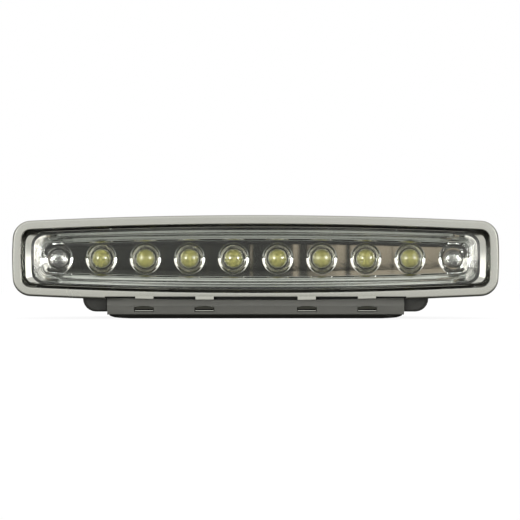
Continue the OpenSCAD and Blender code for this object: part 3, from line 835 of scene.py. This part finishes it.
def cell_edge(angle, left, right, top):
    """Where a ray from the cup's centre meets the cell's edge: the nearer of the
    side and the top, with the top at half height top."""
    c, s = np.cos(angle), np.sin(angle)
    side = np.where(c > 0, right, left) / np.maximum(np.abs(c), 1e-9)
    lid = top / np.maximum(np.abs(s), 1e-9)
    return np.minimum(side, lid)[:, None] * np.stack([c, s], 1)


def reflector_cell(x, hole, left, right, steps=96):
    """Points of one cell, by radius and by angle. The angles nearest to the cell's
    corners are moved onto them. Between the cups the plate dips by 0.03 mm, as a
    parabola, and towards the lamp's ends it rises: by a parabola over the first
    4 mm and straight on from there."""
    corner = np.arctan2(PLATE_H, [right, left])
    a = np.linspace(0, 2 * np.pi, steps, endpoint=False)
    for c in (corner[0], np.pi - corner[1], np.pi + corner[1], 2 * np.pi - corner[0]):
        a[np.argmin(np.abs(a - c))] = c
    ray = np.stack([np.cos(a), np.sin(a)], 1)
    rows = [np.concatenate([ray * r, np.full((steps, 1), d)], 1) for r, d in dish_profile(hole)]
    start = ray * (CUP_R + ROLL)
    way = cell_edge(a, left, right, PLATE_H) - start
    dip_from = CUP_R + 0.55
    for s in np.linspace(0, 1, 7)[1:]:
        spread = start + way * s
        dip = np.clip((np.abs(spread[:, :1]) - dip_from) / (HALF_CELL - dip_from), 0, 1)
        rows.append(np.concatenate([spread, REFLECTOR_D + 0.03 * dip * (2 - dip)], 1))
    grid = np.stack(rows)
    past = np.clip(np.abs(grid[..., 0] + x) - RISE_FROM, 0, None)
    grid[..., 2] -= np.where(past < 4, 0.026 * past**2, 0.208 * past - 0.416)
    put = np.stack([grid[..., 0] + x, grid[..., 2] + FRONT_Y, grid[..., 1] + AXIS_Z], -1) * MM
    return put.reshape(-1, 3), grid_faces(len(rows), steps)


print("points in a cell:", len(reflector_cell(0.0, LED_R, HALF_CELL, HALF_CELL)[0]))

# %% The finished reflector
LED_HOLE_R = LED_R + 0.3
SCREW_HOLE_R = 1.6
END_CELL = 9.3              # from the screw to the plate's end
cells = [reflector_cell(x, LED_HOLE_R, HALF_CELL, HALF_CELL) for x in led_places]
cells.append(reflector_cell(screw_places[0], SCREW_HOLE_R, END_CELL, HALF_CELL))
cells.append(reflector_cell(screw_places[1], SCREW_HOLE_R, HALF_CELL, END_CELL))
finish_piece(new_piece("reflector_plate", cells, 30.0), mirror, "reflector_coating", "reflector")

# %% [markdown]
# ## The LEDs
# An LED is a turned shape: a half ball on a short body with a flange at its back.
# It could be a UV sphere joined to a cylinder, but a profile of radius and depth
# carried round an axis gives one closed surface with no seam at the equator.

# %% The eight LEDs
def turned_shell(profile, x, steps=48):
    """A profile of (radius, depth) points carried round the axis at x, which runs to
    the rear at the height of the light axis."""
    p = np.array(profile)
    a = np.linspace(0, 2 * np.pi, steps, endpoint=False)
    depth = np.broadcast_to(p[:, 1:] + FRONT_Y, (len(p), steps))
    grid = np.stack([x + p[:, :1] * np.cos(a), depth, AXIS_Z + p[:, :1] * np.sin(a)], -1) * MM
    return grid.reshape(-1, 3), grid_faces(len(p), steps)


def led_profile():
    """A quarter circle for the dome, a straight body, and a flange at the back that
    stands on the board."""
    turns = np.radians(np.linspace(0, 90, 17))
    dome = [(LED_R * math.sin(v), LED_TIP_D + LED_R * (1 - math.cos(v))) for v in turns]
    flange = LED_R + 0.6
    return dome + [(LED_R, BOARD_D - 1.45), (flange - 0.05, BOARD_D - 1.4), (flange, BOARD_D - 1.3),
                   (flange, BOARD_D), (0.0, BOARD_D)]


for number, x in enumerate(led_places, 1):
    dome = new_piece(f"led_{number}_dome", [turned_shell(led_profile(), x)])
    finish_piece(dome, led_resin, "led_resin", f"led_{number}")

# %% [markdown]
# ## The screws
# A screw has a low dome with a cross recess, and a shank that holds reflector and
# board to the housing. A boolean cross would leave long, thin faces in the bright
# steel. Instead the dome is a fine polar grid, and the cross is pressed into it:
# the depth of each point grows where it lies inside the cross.

# %% The two screws
HEAD_R = 3.5
HEAD_H = 2.2
ARM_W = 0.42                # half width of the cross's arms
ARM_REACH = 1.9
CROSS_DEEP = 1.1            # how deep the cross is pressed
CROSS_TURN = 0.5            # radians
SHANK_R = 1.5
SHANK_END_D = 23.7


def screw_head(x, rings=22, steps=96):
    """The dome's height is HEAD_H times (1 - (r / edge)^3)^(1 / 1.9). The cross adds
    depth where the nearer of |u| and |v| is under ARM_W and the farther under
    ARM_REACH, u and v being the point's place along the turned arms."""
    r = np.linspace(0, HEAD_R, rings)[:, None]
    a = np.linspace(0, 2 * np.pi, steps, endpoint=False)[None, :]
    u, v = np.abs(r * np.cos(a + CROSS_TURN)), np.abs(r * np.sin(a + CROSS_TURN))
    small, large = np.minimum(u, v), np.maximum(u, v)
    cross = np.clip((ARM_W - small) / 0.12, 0, 1) * np.clip((ARM_REACH - large) / 0.35, 0, 1)
    dome = HEAD_H * (1 - (r / (HEAD_R + 0.05))**3)**(1 / 1.9)
    top = np.stack([x + r * np.cos(a), FRONT_Y + CUP_FLOOR_D - dome + cross * CROSS_DEEP,
                    AXIS_Z + r * np.sin(a)], -1)
    foot = top[-1:].copy()
    foot[..., 1] = FRONT_Y + CUP_FLOOR_D
    centre = foot.copy()
    centre[..., 0] = x
    centre[..., 2] = AXIS_Z
    grid = np.concatenate([top, foot, centre]) * MM
    return grid.reshape(-1, 3), grid_faces(len(grid), steps)


shank_top = CUP_FLOOR_D - 0.1
shank_profile = [(0.0, shank_top), (SHANK_R, shank_top), (SHANK_R, SHANK_END_D - 0.5),
                 (SHANK_R - 0.5, SHANK_END_D), (0.0, SHANK_END_D)]
for side, x in zip(("left", "right"), screw_places):
    screw = new_piece(f"screw_{side}", [screw_head(x), turned_shell(shank_profile, x)], 35.0)
    finish_piece(screw, steel, "screw_steel", f"reflector_screw_{side}")

# %% [markdown]
# ## The floor
# The lamp stands on a plain white floor that has no visible edge. Strong light
# could bleach a grey floor, but it would bleach the chrome and the plastics too.
# So the floor simply shines white to the camera, and a share of matt shading near
# the lamp lets its shadow through. Glass, metal and matt surfaces see a darker
# ground, as they would in a studio with a small table, and the ground that metal
# sees carries a painted shadow: it is dark just below the lamp.

# %% The floor
FLOOR_REACH = 6.0


def ground_tone(f, y):
    """The ground as the lamp sees it. Metal sees it dark below the lamp, a painted
    shadow, and pale farther out, rays through the lens see one pale strip before
    the lamp and one behind it, and matt surfaces see an even grey."""
    away = y.absolute()
    # Painted shadow: the ground that metal sees is dark below the lamp.
    for_metal_with_painted_shadow = f.mix(away.rises(0.026, 0.04), (0.04, 0.04, 0.036, 1), (0.42, 0.42, 0.40, 1))
    strip = away.rises(0.10, 0.05) * away.falls(0.36, 0.08)
    for_lens = f.mix(strip, (0.02, 0.02, 0.018, 1), (0.26, 0.27, 0.245, 1))
    ground = f.mix(f.ray("Transmission"), for_metal_with_painted_shadow, for_lens)
    return f.mix(f.ray("Diffuse"), ground, (0.32, 0.32, 0.31, 1))


def floor_finish():
    """White to the camera by 0.88 near the lamp, growing to 1 with the distance, and
    matt for the rest."""
    f = new_finish("white_floor")
    x, y, _ = f.axes()
    away = (x * x + y * y).power(0.5).rises(0.12, 0.5)
    pale = f.mix(f.grain(6.0, 2.0), (0.9, 0.9, 0.9, 1), (0.93, 0.93, 0.93, 1))
    seen = f.ray("Camera")
    matt = f.node("ShaderNodeBsdfDiffuse", Color=f.mix(seen, ground_tone(f, y), pale))
    white = f.node("ShaderNodeEmission", Color=(1, 1, 1, 1), Strength=1.0)
    return f.close(f.node("ShaderNodeMixShader", s0=seen * (0.88 + away * 0.12), s1=matt, s2=white))


floor_mesh = bpy.data.meshes.new("floor")
corners = np.array([(-1, -1, 0), (1, -1, 0), (1, 1, 0), (-1, 1, 0)]) * FLOOR_REACH
floor_mesh.from_pydata(corners.tolist(), [], [(0, 1, 2, 3)])
floor_mesh.materials.append(floor_finish())
floor = bpy.data.objects.new("floor", floor_mesh)
bpy.context.scene.collection.objects.link(floor)
print("floor:", 2 * FLOOR_REACH, "m wide")

# %% [markdown]
# ## The world
# Chrome and mirrors show their surroundings, so the world is half of their look.
# It could be a photograph of a studio, but a few soft shapes are enough and can be
# told apart by the kind of ray. The camera sees white, matt surfaces get an even
# white light, the metal outside sees a grey studio with a pale band at each side,
# and what leaves through the lens sees the dark place in front, where a camera
# would stand, between bright sides. A direction is a vector of length 1, so its
# parts run from -1 to 1, and -y is the front.

# %% What metal and lens see
DARK = (0.03, 0.031, 0.026, 1)
BRIGHT = (1.55, 1.51, 1.40, 1)
WARM = (0.36, 0.31, 0.23, 1)
DIM = (0.36, 0.38, 0.345, 1)
PALE = (0.85, 0.87, 0.81, 1)
# Soft boxes that the LEDs mirror: place in x, half width, half height, colour.
BOXES = ((-0.67, 0.17, 0.24, (8.0, 8.0, 7.8, 1)), (0.84, 0.13, 0.28, (4.0, 4.0, 3.8, 1)))


def metal_view(f, x, y, z):
    """A grey that grows with the height and towards the front, is dark far out to
    the sides, and carries a pale band at each side of the front."""
    front, wide, high = (0.0 - y).limited(), x.absolute(), z.absolute()
    level = (0.525 + z * 0.5) * (0.45 + front * 0.55) * (1.0 - wide.rises(0.78, 1 / 6) * 0.85)
    band = wide.rises(0.38, 1 / 14) * wide.falls(0.68, 1 / 14) * high.falls(0.30, 1 / 10) * front.over(0.2)
    level = level + band * (1.15 + x.over(0.0) * 0.35)
    return f.node("ShaderNodeCombineXYZ", X=level, Y=level, Z=level * 0.98)


def lens_view(f, x, z):
    """Bright sides with a dark middle and a warm patch to its right, and above and
    below it a dim and a pale band. The lighter of both counts, and the two boxes
    lie over them."""
    wide, high = x.absolute(), z.absolute()
    beside = f.ramp(x * 0.5 + 0.5, [
        (0.0, BRIGHT), (0.393, BRIGHT), (0.418, DARK), (0.508, DARK),
        (0.524, WARM), (0.58, WARM), (0.61, BRIGHT), (1.0, BRIGHT)])
    too_high = (high - (wide - 0.45).limited() * 1.4).rises(0.24, 1 / 12)
    above = f.ramp(high, [
        (0.0, DARK), (0.07, DARK), (0.10, DIM), (0.155, DIM),
        (0.175, PALE), (0.24, PALE), (0.29, DARK), (1.0, DARK)])
    view = f.node("ShaderNodeMix", {"data_type": "RGBA", "blend_type": "LIGHTEN"}, out=2,
                  s0=1.0, s6=f.mix(too_high, beside, DARK), s7=above)
    for place, half_width, half_height, glow in BOXES:
        box = (x - place).absolute().falls(half_width, 1 / 12) * high.falls(half_height, 1 / 12)
        view = f.mix(box, view, glow)
    return view


print("soft boxes:", len(BOXES))

# %% The world
def studio_world():
    """One view for each kind of ray, with white for the rest."""
    world = bpy.data.worlds.new("studio")
    f = Finish(world)
    x, y, z = f.axes("Generated")
    colour = f.mix(f.ray("Glossy"), (1, 1, 1, 1), metal_view(f, x, y, z))
    colour = f.mix(f.ray("Transmission"), colour, lens_view(f, x, z))
    colour = f.mix(f.ray("Camera"), colour, (1, 1, 1, 1))
    background = f.node("ShaderNodeBackground", Color=colour, Strength=1.0)
    return f.close(background, "ShaderNodeOutputWorld")


bpy.context.scene.world = studio_world()
print("world:", bpy.context.scene.world.name)

# %% [markdown]
# ## The lamps
# Two soft panels in front, one to each side at the lamp's own height, and a large
# one above bring out the lamp's forms. Sun lamps would do with fewer numbers, but
# their shadows are hard. Mirrors would show the panels as white squares, so they
# are hidden from glossy rays, and the world's soft boxes stand in.

# %% The lamps
def panel(name, place, aim, size, power):
    """A soft panel of size (width, height) in metres at place, turned to aim."""
    data = bpy.data.lights.new(name, "AREA")
    data.shape = "RECTANGLE"
    data.size, data.size_y = size
    data.energy = power
    lamp = bpy.data.objects.new(name, data)
    lamp.location = place
    lamp.rotation_euler = (Vector(aim) - Vector(place)).to_track_quat("-Z", "Y").to_euler()
    lamp.visible_glossy = False
    bpy.context.scene.collection.objects.link(lamp)
    print(name, power, "W")


lamp_middle = (0.0, 0.0, AXIS_Z * MM)
panel("left_panel", (-0.67, -0.76, 0.04), lamp_middle, (0.30, 0.30), 7.0)
panel("right_panel", (0.84, -0.56, 0.04), lamp_middle, (0.44, 0.40), 9.5)
panel("top_panel", (0.0, -0.15, 1.0), lamp_middle, (1.2, 0.8), 5.0)

# %% [markdown]
# ## The camera
# The picture is taken straight from the front at the light axis's height. The
# focal length follows from how far off the camera stands and from how wide the
# picture is at the bezel's front: lens over sensor is distance over width.

# %% The camera
VIEW_WIDTH_M = 0.1967
STAND_OFF_M = 0.70
AIM = (1.67, -0.6)          # the picture's middle, from the lamp's own middle
camera_data = bpy.data.cameras.new("camera")
camera_data.lens = camera_data.sensor_width * STAND_OFF_M / VIEW_WIDTH_M
camera_data.clip_start = 0.01
camera = bpy.data.objects.new("camera", camera_data)
camera.location = (AIM[0] * MM, FRONT_Y * MM - STAND_OFF_M, (AXIS_Z + AIM[1]) * MM)
camera.rotation_euler = (math.radians(90), 0, 0)
bpy.context.scene.collection.objects.link(camera)
bpy.context.scene.camera = camera
bpy.context.scene.view_settings.view_transform = "Standard"
print("camera", [round(v, 4) for v in camera.location], "lens", round(camera_data.lens, 1))

# %% [markdown]
